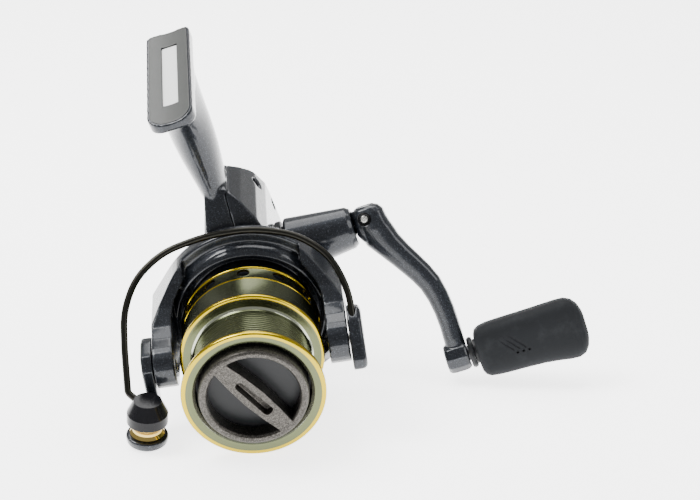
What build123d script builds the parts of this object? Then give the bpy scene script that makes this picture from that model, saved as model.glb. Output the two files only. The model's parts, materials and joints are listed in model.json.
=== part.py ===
from build123d import *
import math
import os

# Spinning reel, front drag, folding handle on the right. Millimetres.
# It is drawn with the spool axis on Y (front is -Y), the rod foot towards +Z and the
# handle towards +X, with y = 0 at the front edge of the spool. On writing, everything
# is moved so that the centre of the foot's seat is the origin.

# ---- driving dimensions -------------------------------------------------------------
FOOT_Y, FOOT_Z = 76.2, 81.3          # centre of the foot seat over the spool axis
FOOT_L, FOOT_W, FOOT_T = 61.3, 15.6, 3.0
FOOT_TILT = 4.8                      # degrees, rear end further from the spool axis
SEAT_R = 17.0                        # concave seat that the rod lies in
LIP_R = 23.5                         # spool front lip
REAR_LIP_R, REAR_LIP_Y = 24.0, 21.5
SKIRT_R, SKIRT_END = 23.9, 41.5
ARBOR_R = 19.4
SHAFT_R = 2.0                        # main shaft
STROKE = 7.5                         # main shaft travel, each way
CRANK_Y, CRANK_Z = 75.0, 6.3         # handle axis
ARM_BACK = 22.0                      # degrees the handle arm hangs forward of straight down
ROTOR_TURN = 10.0                    # degrees the rotor is turned about the spool axis at rest
N_GEAR, N_PINION = 40, 8
PINION_R, PINION_ROOT, PINION_TIP = 3.3, 2.9, 3.8
MESH_D = PINION_R * N_GEAR / N_PINION
N_OSC_PINION, N_OSC = 15, 33
OSC_MODULE = 2.0 / 3.0
OSC_Y, OSC_Z = 84.0, -6.93           # oscillating gear centre
PIVOT_X, PIVOT_S = 45.3, -1.9        # handle fold pivot, in the handle arm's plane
ROTOR_R = 30.0
ARM_IN, ARM_OUT = 25.5, 32.5         # rotor arm's inner and outer faces
ARM_H = 7.8                          # rotor arm's half width
BAIL_Y = 24.5                        # bail pivot
WIRE_R = 1.15
BAIL_LEAN = 45.0                     # degrees the bail arch leans back at rest
ROLLER_C = (-37.3, 10.0, -13.3)      # line roller's centre, in the rotor's frame
ROLLER_TILT = 11.0
KNOB_L = 39.2
PITCH = 0.8                          # drag thread

os.makedirs("parts", exist_ok=True)


# ---- helpers ------------------------------------------------------------------------
def cyl_y(r, y0, y1, x=0.0, z=0.0):
    return Pos(x, (y0 + y1) / 2, z) * Rot(90, 0, 0) * Cylinder(r, y1 - y0)


def cyl_x(r, x0, x1, y=0.0, z=0.0):
    return Pos((x0 + x1) / 2, y, z) * Rot(0, 90, 0) * Cylinder(r, x1 - x0)


def cyl_z(r, z0, z1, x=0.0, y=0.0):
    return Pos(x, y, (z0 + z1) / 2) * Cylinder(r, z1 - z0)


def cyl_from(p, d, r, length):
    """A cylinder from point p along direction d."""
    return extrude(Plane(origin=p, z_dir=d) * Circle(r), length)


def block(x0, x1, y0, y1, z0, z1):
    return Pos((x0 + x1) / 2, (y0 + y1) / 2, (z0 + z1) / 2) * Box(x1 - x0, y1 - y0, z1 - z0)


def turned_y(profile):
    """Revolve (radius, y) points about the spool axis."""
    face = make_face(Polyline([(r, y, 0) for r, y in profile], close=True))
    return revolve(face, Axis.Y, 360)


def turned_x(profile, y, z):
    """Revolve (x, radius) points about an axis along X through (y, z)."""
    face = make_face(Polyline([(x, y + r, z) for x, r in profile], close=True))
    return revolve(face, Axis((0, y, z), (1, 0, 0)), 360)


def plate_x(outline, x0, x1):
    """Extrude a (y, z) outline along X."""
    face = make_face(Polyline([(x0, y, z) for y, z in outline], close=True))
    return extrude(face, x1 - x0, dir=(1, 0, 0))


def spur(n, root, tip, x0, x1, y, z, phase, foot=0.30, top=0.17):
    """A spur gear blank about X with n simple teeth, its first tooth at phase degrees in the YZ plane."""
    pts = []
    p = 360.0 / n
    for k in range(n):
        a = phase + k * p
        for r, off in ((root, -foot), (tip, -top), (tip, top), (root, foot)):
            t = math.radians(a + off * p)
            pts.append((x0, y + r * math.cos(t), z + r * math.sin(t)))
    face = make_face(Polyline(pts, close=True))
    return extrude(face, x1 - x0, dir=(1, 0, 0))


def try_fillet(solid, edges, radius):
    for r in (radius, radius * 0.6, radius * 0.3):
        try:
            out = fillet(edges, r)
            if out.is_valid and out.volume > 0:
                return out
        except Exception:
            pass
    return solid


TO_ROW = Pos(0, -FOOT_Y, -FOOT_Z)
TURN = Rot(0, ROTOR_TURN, 0)
written = []


def put(name, shape, turn=False):
    shape = (TURN * shape) if turn else shape
    shape = TO_ROW * shape
    solids = shape.solids()
    out = solids[0] if len(solids) == 1 else Compound(children=list(solids))
    out.label = name
    export_step(out, "parts/" + name + ".step")
    written.append((name, len(solids), sum(s.volume for s in solids)))


# =====================================================================================
# Fixed body: housing with stem and foot, side cover, bearings
# =====================================================================================
side_view = [(57.2, -18.5), (57.2, 24), (61.5, 33), (67, 39.5), (85, 39.5), (92.5, 31), (98, 18),
             (99.5, 2), (97, -13), (89, -20.6), (62, -20.6)]
front_view = [(-12.6, -12), (-12.6, 8), (-10.2, 19), (-6.6, 27), (-4.6, 34), (-3.0, 39.5),
              (4.6, 39.5), (8.6, 35), (12.2, 29), (14, 22.5), (14, -12), (9, -20.6), (-8, -20.6)]
gearbox = plate_x(side_view, -20, 20)
fv = make_face(Polyline([(x, 50, z) for x, z in front_view], close=True))
gearbox = gearbox & extrude(fv, 55, dir=(0, 1, 0))
boss = cyl_y(22.4, 52.0, 58.5) + cyl_y(19.4, 48.2, 52.2)
body_outer = gearbox + boss

# inside: gear chamber, oscillation chamber
chamber = cyl_x(19.7, -9.6, 10.4, CRANK_Y, CRANK_Z)
chamber += block(-9.6, 10.4, 71.5, 97.4, -16.5, 8.0)
chamber += cyl_x(12.2, -9.6, 6.0, OSC_Y, OSC_Z)
front_bores = cyl_y(6.52, 53.2, 55.5) + cyl_y(9.02, 48.0, 53.2) + cyl_y(5.9, 55, 57) \
    + cyl_y(4.6, 56, 64.5)
front_bores += cyl_y(2.15, 67, 98)
rear_wall = block(-10, 3.1, 64.6, 67.6, -7.5, 2.3) - cyl_y(2.62, 60, 70) \
    - cyl_x(4.4, -12, 12, CRANK_Y, CRANK_Z)
chamber_all = chamber + front_bores

# stem, lofted from the gearbox to the foot
sections = [(25, 76.5, 5.2, 15.5), (33, 76.5, 4.5, 12.5), (42, 76.5, 5.5, 10.5), (52, 76.3, 6.9, 10.2),
            (62, 76.2, 7.5, 11.5), (71, 76.2, 7.6, 15.5), (78.0, 76.2, 7.6, 23.0)]
faces = []
for z, yc, a, b in sections:
    faces.append(Plane(origin=(0, yc, z)) * Ellipse(a, b))
stem = loft(faces)
foot_plane = Plane(origin=(0, FOOT_Y, FOOT_Z), x_dir=(1, 0, 0),
                   z_dir=(0, -math.sin(math.radians(FOOT_TILT)), math.cos(math.radians(FOOT_TILT))))
# the seat's side edges stand proud of its centre line: the seat is a trough for the rod
edge_rise = SEAT_R - math.sqrt(SEAT_R ** 2 - (FOOT_W / 2) ** 2)
foot_outline = RectangleRounded(FOOT_W, FOOT_L, 5.2)
foot = extrude(foot_outline, -FOOT_T)
foot += extrude(foot_outline, edge_rise)
foot -= Pos(0, 0, SEAT_R) * Rot(90, 0, 0) * Cylinder(SEAT_R, FOOT_L + 20)
foot -= Pos(0, 0, -FOOT_T - 10.6) * Rot(90, 0, 0) * (Cylinder(60, 1) - Cylinder(59, 1))
label_l, label_w = 39.7, 5.9
label_cut = Pos(0, 0.7, 0) * Box(label_w, label_l, 1.6)
foot = foot - label_cut
foot = foot_plane * foot
under = foot_plane * (Pos(0, 0, -FOOT_T / 2 - 10.5) * Box(60, 120, 20 - 0.0))
stem = stem - (foot_plane * (Pos(0, 0, 40 - 1.5) * Box(60, 120, 80)))
solid_body = body_outer + stem + foot

SPLIT_X = 4.0
cover_zone = block(SPLIT_X, 40, 58.6, 110, -30, 38.4)
housing = solid_body - cover_zone
housing = housing - chamber_all
housing = housing + rear_wall
housing -= cyl_x(6.02, -13, -9.5, CRANK_Y, CRANK_Z)
housing -= cyl_x(1.52, -11.6, -5, OSC_Y, OSC_Z)
# pin boss of the anti-reverse lever, and its slot under the rear
housing -= block(-2.4, 2.4, 88.0, 99.0, -23, -15.0)
housing -= cyl_x(1.05, -5, 3.9, 92.0, -17.6)
# screw holes of the side cover
cover_screw_at = [(87.5, 27.5), (95.9, 13.2), (62.5, -15.8)]
for y, z in cover_screw_at:
    housing -= cyl_x(1.05, -4.5, 4.1, y, z)
# screw holes of the bearing retainer
retainer_at = [(11.6 * math.cos(math.radians(a)), 11.6 * math.sin(math.radians(a))) for a in (90, 210, 330)]
for x, z in retainer_at:
    housing -= cyl_y(0.8, 47, 53.2, x, z)
put("body_housing", housing)

cover = (body_outer + stem) & block(SPLIT_X + 0.02, 40, 58.62, 110, -30, 38.38)
cover = cover - chamber_all
cover -= cyl_x(7.02, 10.3, 15, CRANK_Y, CRANK_Z)
for y, z in cover_screw_at:
    cover -= cyl_x(1.15, 3.5, 15, y, z)
    cover -= cyl_x(2.1, 7.38, 16, y, z)
put("side_cover", cover)

screws = None
for y, z in cover_screw_at:
    s = cyl_x(1.05, -3.0, 7.4, y, z) + cyl_x(2.0, 7.4, 8.6, y, z)
    s = s.solids()[0] if len(s.solids()) == 1 else s
    s -= block(8.1, 9.0, y - 1.3, y + 1.3, z - 0.3, z + 0.3)
    s -= block(8.1, 9.0, y - 0.3, y + 0.3, z - 1.3, z + 1.3)
    screws = s if screws is None else screws + s
put("side_cover_screws", screws)

label = Pos(0, 0.7, -0.54) * Box(label_w - 0.3, label_l - 0.3, 0.48)
foot_cut_floor = foot_plane * label
put("foot_label_plate", foot_cut_floor)

# bearings of the pinion and of the drive gear
pin_bearing = cyl_y(6.5, 53.3, 55.4) - cyl_y(3.95, 53, 58) - (cyl_y(5.7, 53, 53.6) - cyl_y(4.7, 53, 53.6)) \
    - (cyl_y(5.7, 55.1, 58) - cyl_y(4.7, 55.1, 58))
put("pinion_bearing", pin_bearing)
clutch = cyl_y(9.0, 48.3, 53.1) - cyl_y(5.35, 48, 56)
put("one_way_clutch", clutch)
retainer = cyl_y(13.6, 47.2, 48.2) - cyl_y(6.2, 47, 49)
for x, z in retainer_at:
    retainer -= cyl_y(0.85, 47, 49, x, z)
put("bearing_retainer", retainer)
rs = None
for x, z in retainer_at:
    s = cyl_y(0.78, 47.2, 52.8, x, z) + cyl_y(1.5, 46.6, 47.2, x, z)
    rs = s if rs is None else rs + s
put("retainer_screws", rs)
rb = cyl_x(7.0, 10.4, 13.6, CRANK_Y, CRANK_Z) - cyl_x(3.55, 10, 14, CRANK_Y, CRANK_Z)
rb -= cyl_x(6.1, 13.2, 14, CRANK_Y, CRANK_Z) - cyl_x(4.6, 13.2, 14, CRANK_Y, CRANK_Z)
put("drive_bearing_right", rb)
lb = cyl_x(6.0, -12.5, -9.7, CRANK_Y, CRANK_Z) - cyl_x(3.55, -13, -9, CRANK_Y, CRANK_Z)
lb -= cyl_x(5.2, -13, -12.1, CRANK_Y, CRANK_Z) - cyl_x(4.3, -13, -12.1, CRANK_Y, CRANK_Z)
put("drive_bearing_left", lb)
bush = cyl_y(2.6, 64.7, 67.5) - cyl_y(2.05, 64, 68)
put("main_shaft_bush", bush)
osc_axle = cyl_x(1.5, -11.5, -5.4, OSC_Y, OSC_Z)
put("oscillating_gear_axle", osc_axle)

# anti-reverse switch under the rear of the body
lever_pin = cyl_x(1.0, -4.9, 3.9, 92.0, -17.6)
put("anti_reverse_pin", lever_pin)
sw = plate_x([(89.6, -18.6), (91.0, -16.0), (93.2, -15.7), (94.6, -17.4), (97.2, -21.5), (99.6, -24.6),
              (98.0, -25.6), (94.6, -22.6), (91.0, -20.4)], -2.1, 2.1)
sw -= cyl_x(1.05, -3, 3, 92.0, -17.6)
put("anti_reverse_lever", sw)

# =====================================================================================
# Crank: drive gear, shank, collar, screw cap
# =====================================================================================
disc = turned_x([(4.3, 3.0), (4.3, 19.0), (5.0, 19.3), (7.3, 19.3), (7.3, 12.0), (6.2, 11.0), (6.2, 6.0),
                 (9.9, 5.2), (9.9, 3.0)], CRANK_Y, CRANK_Z)
teeth_len0, teeth_len1 = 14.7, 17.4
face_teeth = disc
for k in range(N_GEAR):
    tooth = block(3.2, 4.5, CRANK_Y - teeth_len1, CRANK_Y - teeth_len0, -0.40, 0.40)
    face_teeth = face_teeth + Pos(0, CRANK_Y, CRANK_Z) * Rot((k + 0.5) * 360.0 / N_GEAR, 0, 0) \
        * Pos(0, -CRANK_Y, -CRANK_Z) * tooth
axle = cyl_x(3.5, -12.6, 13.9, CRANK_Y, CRANK_Z)
centre_angle = math.degrees(math.atan2(OSC_Z - CRANK_Z, OSC_Y - CRANK_Y))
r_small, r_osc = OSC_MODULE * N_OSC_PINION / 2, OSC_MODULE * N_OSC / 2
small = spur(N_OSC_PINION, r_small - 0.72, r_small + 0.45, -9.2, -6.2, CRANK_Y, CRANK_Z, centre_angle)
gear = face_teeth + axle + small - cyl_x(2.5, -14, 15, CRANK_Y, CRANK_Z)
put("drive_gear", gear)

hole = cyl_x(1.51, -10, -5, OSC_Y, OSC_Z)
osc = spur(N_OSC, r_osc - 0.72, r_osc + 0.45, -9.2, -6.9, OSC_Y, OSC_Z,
           centre_angle + 180 + 180.0 / N_OSC)
osc += cyl_x(3.2, -9.4, -6.3, OSC_Y, OSC_Z)
osc += cyl_x(1.2, -7.0, -4.25, OSC_Y - 0.0, OSC_Z - STROKE)
osc -= hole
put("oscillating_gear", osc)

# shank: a hollow-looking tapered sleeve with a hinge tongue at its outer end
er = math.radians(ARM_BACK)
UD = Vector(0, -math.sin(er), -math.cos(er))
ARM_PLANE = Plane(origin=(0, CRANK_Y, CRANK_Z), x_dir=(1, 0, 0), z_dir=Vector(1, 0, 0).cross(UD))


def arm_plate(outline, n0, n1):
    face = make_face(Polyline([(x, s, n0) for x, s in outline], close=True))
    return ARM_PLANE * extrude(face, n1 - n0, dir=(0, 0, 1))


def arm_cyl(x, s, r, n0, n1):
    return ARM_PLANE * (Pos(x, s, (n0 + n1) / 2) * Cylinder(r, n1 - n0))


shank = turned_x([(14.6, 2.0), (14.6, 7.4), (17.5, 7.4), (17.5, 9.4), (18.2, 10.0), (39.4, 7.45), (41.0, 6.3),
                  (41.0, 2.0)], CRANK_Y, CRANK_Z)
shank += cyl_x(2.45, -13.4, 40, CRANK_Y, CRANK_Z)
shank += cyl_x(2.45, 14, 40.5, CRANK_Y, CRANK_Z)
tongue = arm_plate([(40.0, -5.0), (45.3, -5.6), (47.6, -4.8), (49.0, -1.9), (47.9, 0.8), (45.3, 1.8), (40.0, 2.4)],
                   -1.3, 1.3)
shank = shank + tongue - arm_cyl(PIVOT_X, PIVOT_S, 1.53, -4, 4)
put("handle_shank", shank)
collar = turned_x([(14.35, 7.42), (14.35, 9.2), (14.7, 9.5), (16.2, 9.5), (16.6, 9.1), (16.6, 7.42)], CRANK_Y, CRANK_Z)
put("handle_collar", collar)
cap_pts = []
for k in range(36):
    for r, o in ((6.1, -2.2), (6.6, -1.2), (6.6, 1.2), (6.1, 2.2)):
        t = math.radians(k * 10 + o)
        cap_pts.append((-17.8, CRANK_Y + r * math.cos(t), CRANK_Z + r * math.sin(t)))
screw_cap = extrude(make_face(Polyline(cap_pts, close=True)), 4.2, dir=(1, 0, 0))
screw_cap += turned_x([(-18.6, 0.0), (-18.6, 4.6), (-17.8, 5.9), (-17.8, 0.0)], CRANK_Y, CRANK_Z)
screw_cap += cyl_x(3.3, -13.6, -12.9, CRANK_Y, CRANK_Z)
screw_cap -= cyl_x(2.45, -14.0, -12.0, CRANK_Y, CRANK_Z)
put("handle_screw_cap", screw_cap)

# =====================================================================================
# Handle arm, in its own plane: x outwards, s along the arm
# =====================================================================================
arc = [(PIVOT_X + 4.15 * math.cos(math.radians(a)), PIVOT_S + 4.15 * math.sin(math.radians(a)))
       for a in range(180, 271, 15)]
head = arm_plate([(41.15, 5.6), (41.15, PIVOT_S)] + arc + [(49.6, -6.0), (51.6, -4.2), (52.6, 1.0), (54.0, 5.5),
                  (50.5, 14.5), (46.4, 10.0), (42.4, 6.4)], -5.3, 5.3)
head = try_fillet(head, head.edges().filter_by(lambda e: e.length > 3.0), 1.2)
blade = arm_plate([(42.0, 6.2), (46.4, 10.0), (50.9, 16.0), (55.6, 23.4), (57.7, 28.6), (58.9, 35.1), (59.3, 41.4),
                   (59.3, 50.0), (65.6, 50.0), (65.6, 38.4), (65.2, 30.2), (63.8, 23.0), (61.7, 18.1), (56.9, 10.5),
                   (53.1, 3.2), (50.0, 2.0)], -3.6, 3.6)
blade = try_fillet(blade, blade.edges().filter_by(lambda e: e.length > 3.0), 1.3)
arm_boss = ARM_PLANE * (Pos(62.3, 54.9, 0) * Rot(0, 90, 0) * Cylinder(5.0, 6.9))
arm_boss = try_fillet(arm_boss, arm_boss.edges(), 0.8)
arm = head + blade + arm_boss
slot = arm_plate([(36, -12), (36, 2.75), (PIVOT_X, 2.75), (PIVOT_X + 4.3, PIVOT_S), (PIVOT_X + 4.3, -12)], -1.42, 1.42)
slot += arm_cyl(PIVOT_X, PIVOT_S, 4.3, -1.42, 1.42)
arm -= slot
arm -= arm_cyl(PIVOT_X, PIVOT_S, 1.5, -6, 6)
arm -= arm_cyl(PIVOT_X, PIVOT_S, 2.4, 3.6, 6)
arm -= arm_cyl(PIVOT_X, PIVOT_S, 2.4, -6, -3.6)
KX0 = 65.75
arm -= ARM_PLANE * (Pos(62, 54.9, 0) * Rot(0, 90, 0) * Cylinder(1.75, 9))
put("handle_arm", arm)
pv = arm_cyl(PIVOT_X, PIVOT_S, 1.48, -5.0, 5.0)
pv += arm_cyl(PIVOT_X, PIVOT_S, 2.2, 3.62, 5.0) + arm_cyl(PIVOT_X, PIVOT_S, 2.2, -5.0, -3.62)
pv -= arm_plate([(PIVOT_X - 3, PIVOT_S - 0.25), (PIVOT_X + 3, PIVOT_S - 0.25), (PIVOT_X + 3, PIVOT_S + 0.25),
                 (PIVOT_X - 3, PIVOT_S + 0.25)], 4.4, 5.5)
put("handle_pivot_screw", pv)

KNOB_TILT = 2.0
KP = ARM_PLANE * Plane(origin=(KX0, 54.9, 0), x_dir=(1, 0, 0), z_dir=(0, 0, 1))


def knob_rev(profile):
    """Revolve (x, radius) points about the knob's axis."""
    face = make_face(Polyline([(x, r, 0) for x, r in profile], close=True))
    return ARM_PLANE * (Pos(KX0, 54.9, 0) * revolve(face, Axis.X, 360))


kshaft = knob_rev([(-6.4, 0), (-6.4, 1.74), (0.0, 1.74), (0.0, 2.6), (0.4, 2.6), (0.4, 2.2), (33.5, 2.2),
                   (33.5, 3.0), (34.6, 3.0), (34.6, 0)])
put("knob_shaft", kshaft)
kwash = knob_rev([(0.5, 2.25), (0.5, 5.2), (1.4, 5.6), (2.3, 5.2), (2.3, 2.25)])
put("knob_washer", kwash)
kcore = knob_rev([(2.5, 2.25), (2.5, 4.4), (6.0, 4.4), (6.0, 4.0), (33.2, 4.0), (33.2, 2.25)])
put("knob_core", kcore)
ko = [(3.2, -6.6), (4.6, -8.2), (8.0, -9.0), (16, -9.0), (26, -9.2), (34, -9.4), (38.4, -9.3), (41.2, -6.0), (42.4, 0.0),
      (42.2, 6.0), (40.4, 10.6), (37.5, 12.6), (33, 12.2), (24, 10.8), (12, 10.4), (5.8, 10.1), (3.9, 8.6), (3.0, 6.0)]
kf = make_face(Polyline([(x, s, -7.0) for x, s in ko], close=True))
kb = extrude(kf, 14.0, dir=(0, 0, 1))
kb = try_fillet(kb, kb.faces().sort_by(Axis.Z)[-1].edges() + kb.faces().sort_by(Axis.Z)[0].edges(), 3.2)
kb = ARM_PLANE * (Pos(KX0, 54.9, 0) * kb)
kb -= knob_rev([(2.0, 0), (2.0, 4.41), (6.01, 4.41), (6.01, 4.01), (36.0, 4.01), (36.0, 0)])
put("handle_knob", kb)

# =====================================================================================
# Main shaft with what slides with it
# =====================================================================================
shaft = cyl_y(SHAFT_R, 3.2, 88.5)
put("main_shaft", shaft)
slider = block(-3.9, 2.8, 80.8, 87.2, -16.4, 2.35) - cyl_y(SHAFT_R, 79, 89)
slider -= block(-4.5, -2.6, 82.5, 85.5, -17.0, 1.4)
slider -= block(-2.6, 3.5, 80.0, 88.0, -17.0, -13.6)
slider -= cyl_z(0.8, -12, -1.5, 0.0, 84.0)
slider = try_fillet(slider, slider.edges().filter_by(Axis.Y).sort_by(Axis.Z)[:2], 1.0)
put("crosswind_block", slider)
ss = cyl_z(0.78, -11.5, -2.05, 0.0, 84.0)
put("slider_screw", ss)
ratchet = None
pts = []
for k in range(24):
    for r, o in ((4.5, -5.0), (5.3, -1.0), (5.3, 1.0), (4.5, 5.0)):
        t = math.radians(k * 15 + o)
        pts.append((r * math.cos(t), 19.0, r * math.sin(t)))
ratchet = extrude(make_face(Polyline(pts, close=True)), 1.6, dir=(0, 1, 0)) - cyl_y(SHAFT_R, 18, 22)
put("click_ratchet", ratchet)
sw_ = cyl_y(4.2, 17.45, 18.9) - cyl_y(SHAFT_R, 17, 19)
put("spool_washer", sw_)
dm = None
for y in (9.05, 10.75, 12.45):
    w = cyl_y(12.0, y, y + 0.8) - cyl_y(SHAFT_R, y - 1, y + 2)
    dm = w if dm is None else dm + w
put("drag_washers_metal", dm)

# =====================================================================================
# Spool
# =====================================================================================
groove = []
y = 19.6
while y > 5.2:
    groove += [(ARBOR_R, y), (ARBOR_R - 0.22, y - 0.25), (ARBOR_R, y - 0.5)]
    y -= 1.15
outer = [(18.7, 0.9), (19.6, 0.35), (22.2, 0.0), (23.2, 0.1), (LIP_R, 0.6), (LIP_R, 1.7), (23.1, 2.2), (21.6, 2.6),
         (20.2, 3.6), (ARBOR_R, 4.6)]
outer += list(reversed(groove))
outer += [(ARBOR_R, 20.2), (20.6, 21.0), (23.2, 21.3), (23.8, 21.7), (REAR_LIP_R, 22.2), (REAR_LIP_R, 23.2),
          (23.5, 23.8), (23.2, 24.2), (23.2, 34.6), (23.35, 34.8), (23.35, 35.2), (23.2, 35.4), (23.25, 40.6),
          (SKIRT_R - 0.3, 41.0), (SKIRT_R - 0.3, 41.5),
          (22.3, 41.5), (22.3, 25.0), (17.6, 24.0), (17.6, 17.3), (4.4, 17.3), (2.06, 17.3), (2.06, 13.45), (13.6, 13.45),
          (13.6, 7.2), (18.7, 7.2)]
spool = turned_y(outer)
holes = None
for k in range(12):
    a = math.radians(12 + 30 * k)
    h = cyl_from((20 * math.sin(a), 38.0, 20 * math.cos(a)), (math.sin(a), 0, math.cos(a)), 2.15, 6)
    spool -= h
spool -= turned_y([(12.5, 8.2), (14.1, 8.2), (14.1, 8.8), (12.5, 8.8)])
put("spool", spool)
df = None
for y in (9.9, 11.6):
    w = cyl_y(13.5, y, y + 0.8) - cyl_y(2.2, y - 1, y + 2)
    df = w if df is None else df + w
put("drag_washers_felt", df)
ring = (cyl_y(14.05, 8.25, 8.75) - cyl_y(12.9, 8, 9)) - block(-2, 2, 8, 9, 10, 16)
put("drag_retainer_ring", ring)
pw = make_face(Polyline([(9.0, 19.0, -1.2), (10.6, 19.0, 0.0), (9.0, 19.0, 1.2), (6.4, 19.0, 0.45), (5.75, 19.0, 0.0),
                         (6.4, 19.0, -0.45)], close=True))
pawl = extrude(pw, 1.4, dir=(0, 1, 0)) - cyl_y(0.62, 18, 22, 8.9, 0.0)
put("click_pawl", pawl)
pin = cyl_y(0.6, 17.3, 20.6, 8.9, 0.0) + cyl_y(1.1, 20.45, 20.9, 8.9, 0.0)
put("click_pawl_pin", pin)

# =====================================================================================
# Drag knob
# =====================================================================================
kring = turned_y([(15.0, -1.2), (15.6, -2.0), (16.8, -2.2), (17.6, -1.7), (17.9, -0.7), (17.9, 5.4), (16.9, 5.4),
                  (16.9, 4.0), (15.0, 4.0)])
bar_out = make_face(Polyline([(-15.6, 4.0, 2.6), (-15.6, 4.0, -2.6), (-9, 4.0, -3.4), (0, 4.0, -3.9), (9, 4.0, -3.4),
                              (15.6, 4.0, -2.6), (15.6, 4.0, 2.6), (9, 4.0, 3.4), (0, 4.0, 3.9), (-9, 4.0, 3.4)], close=True))
bar = extrude(bar_out, 6.2, dir=(0, -1, 0))
bar_slot = extrude(make_face(Polyline([(-7.8, -3.0, 1.35), (-7.8, -3.0, -1.35), (7.8, -3.0, -1.7), (7.8, -3.0, 1.7)],
                                      close=True)), 4.2, dir=(0, 1, 0))
bar_slot = try_fillet(bar_slot, bar_slot.edges().filter_by(Axis.Y), 1.2)
bar = bar - bar_slot
bar = bar & cyl_y(15.4, -4, 6)
KNOB_ANGLE = 64.7
dk_ring = Rot(0, KNOB_ANGLE, 0) * (kring + bar)
dk_ring = dk_ring - cyl_y(3.6, 2.0, 7.0)
put("drag_knob_ring", dk_ring)
dk_base = cyl_y(16.85, 4.02, 6.1)
dk_base += cyl_y(12.2, 6.1, 6.9)
dk_base -= cyl_y(3.55, 3.9, 7.0)
put("drag_knob_base", dk_base)
nut = extrude(Plane(origin=(0, 4.05, 0), z_dir=(0, 1, 0)) * RegularPolygon(3.5, 6), 2.4) - cyl_y(2.03, 3, 8)
put("drag_nut", nut)
kp = cyl_y(9.0, 7.75, 8.15) - cyl_y(2.04, 7, 9)
put("drag_click_plate", kp)

# =====================================================================================
# Rotor, in its own frame: arms at -X and +X
# =====================================================================================
hub = turned_y([(2.95, 39.0), (8.0, 39.0), (8.0, 43.0), (20.0, 43.4), (20.0, 33.4), (21.2, 33.4), (21.2, 49.4),
                (21.5, 49.6), (24.3, 49.6), (24.3, 46.0), (24.7, 45.4), (25.4, 45.5), (26.3, 46.3), (27.1, 47.7),
                (27.6, 49.3), (27.8, 50.9), (28.6, 50.9), (28.6, 56.2), (24.0, 56.4),
                (23.1, 56.4), (23.1, 51.4), (20.0, 51.4), (20.0, 46.0), (2.95, 46.0)])


# outline of the rotor's shell: a ring whose sides run tangent into the arms' flat outer faces
RING_R, SHOULDER_X, SHOULDER_Z = 31.5, 32.5, 9.5
sh_r, sh_a = math.hypot(SHOULDER_X, SHOULDER_Z), math.degrees(math.atan2(SHOULDER_Z, SHOULDER_X))
tan_a = sh_a + math.degrees(math.acos(RING_R / sh_r))
quarter = [(SHOULDER_X, SHOULDER_Z)] + [(RING_R * math.cos(math.radians(tan_a + k * (90 - tan_a) / 12)),
                                         RING_R * math.sin(math.radians(tan_a + k * (90 - tan_a) / 12))) for k in range(13)]
outline = quarter + [(-x, z) for x, z in reversed(quarter[:-1])] + [(-x, -z) for x, z in quarter] \
    + [(x, -z) for x, z in reversed(quarter[:-1])]


def shell_between(y0, y1):
    return extrude(make_face(Polyline([(x, y0, z) for x, z in outline], close=True)), y1 - y0, dir=(0, 1, 0))


def rotor_arm(side, flare_below):
    cy = BAIL_Y + 0.6
    tip = [(cy + 7.6 * math.cos(math.radians(a)), 7.6 * math.sin(math.radians(a))) for a in range(100, 261, 16)]
    flare = [(54.5, 31.0), (50.6, 29.4), (47.6, 25.2), (44.2, 19.4), (39.6, 13.4), (34.0, 9.4), (29.0, 7.9)]
    plain = [(38.0, ARM_H), (45.0, 9.6), (51.5, 15.2), (55.5, 17.5)]
    below = [(y, -z) for y, z in reversed(flare)] if flare_below else [(y, -z) for y, z in plain]
    side_view_ = plate_x(flare + tip + below, *((20.0, 36.0) if side > 0 else (-36.0, -20.0)))
    x_in = block(ARM_IN, 36, 0, 60, -14, 14) if side > 0 else block(-36, -ARM_IN, 0, 60, -14, 14)
    a = side_view_ & shell_between(10, 56) & ((shell_between(10, 56) - cyl_y(27.8, 0, 60)) + x_in)
    return a & cyl_y(35.0, 10, 60)


right_arm = rotor_arm(1, True)
left_arm = rotor_arm(-1, False)
left_arm = left_arm - block(-40, -29.1, 35.8, 53.0, -30, 5.8) - block(-40, -30.3, 33.2, 36.0, -30, -3.4) \
    - block(-40, -30.3, 31.0, 34.0, -30, -5.6)
left_arm = left_arm & block(-40, 0, 0, 56.2, -30, 30)
shell = shell_between(50.2, 56.0)
shell = try_fillet(shell, shell.faces().sort_by(Axis.Y)[0].edges() + shell.faces().sort_by(Axis.Y)[-1].edges(), 0.9)
shell -= cyl_y(28.0, 40, 60)
shell = shell - block(-40, -29.1, 35.8, 53.0, -30, 5.8)
rotor = hub + right_arm + left_arm + shell
rotor = rotor - cyl_y(23.1, 51.4, 60)
# pivot holes in the arm tips
rotor -= cyl_x(1.62, -34, -24, BAIL_Y, 0) + cyl_x(1.62, 24, 34, BAIL_Y, 0)
# spring pocket in the right arm, closed by its cover
pocket = plate_x([(32.5, -5.0), (32.5, 5.0), (48, 6.0), (48, -6.0)], 28.0, 33.2)
rotor -= pocket
for z in (-4.0, 4.0):
    rotor -= cyl_x(0.8, 26.5, 29, 46.2 if z > 0 else 46.2, z)
put("rotor", rotor, turn=True)

rcov = plate_x([(32.6, -4.9), (32.6, 4.9), (47.9, 5.9), (47.9, -5.9)], 31.2, 32.45)
rcov -= cyl_x(0.85, 30, 34, 34.4, 0.0) + cyl_x(0.85, 30, 34, 46.0, 0.0)
rcov -= cyl_x(1.6, 31.9, 34, 34.4, 0.0) + cyl_x(1.6, 31.9, 34, 46.0, 0.0)
put("arm_cover", rcov, turn=True)
acs = cyl_x(0.8, 31.2, 32.0, 34.4, 0.0) + cyl_x(1.5, 31.92, 32.6, 34.4, 0.0)
acs += cyl_x(0.8, 31.2, 32.0, 46.0, 0.0) + cyl_x(1.5, 31.92, 32.6, 46.0, 0.0)
put("arm_cover_screws", acs, turn=True)

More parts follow.
